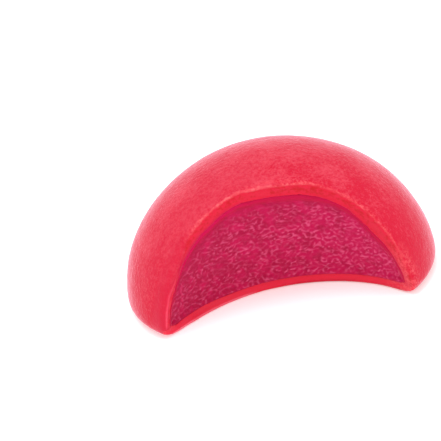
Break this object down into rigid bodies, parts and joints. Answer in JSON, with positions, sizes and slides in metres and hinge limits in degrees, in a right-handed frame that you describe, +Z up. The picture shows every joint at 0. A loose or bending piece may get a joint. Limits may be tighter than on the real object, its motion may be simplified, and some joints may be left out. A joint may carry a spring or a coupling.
{
  "type": "mochi rice cake half",
  "caption": "Soft domed rice cake with one wide bite out of its front, showing the dough skin cut through and the crumbly fruit filling inside.",
  "frame": {"origin": "middle of the foot of the object's box, on the surface it rests on", "axes": "+Z up, -Y towards the bite, +X to the right as the bite is looked at"},
  "size_m": [0.048, 0.037, 0.0227],
  "materials": {
    "rice_dough": "soft, faintly floury rice dough, smooth where it is bitten through",
    "fruit_paste": "moist crumbly fruit paste with fine lighter wrinkles"
  },
  "bodies": {
    "root": {"dough_skin": "rice_dough", "fruit_filling": "fruit_paste"}
  },
  "joints": []
}
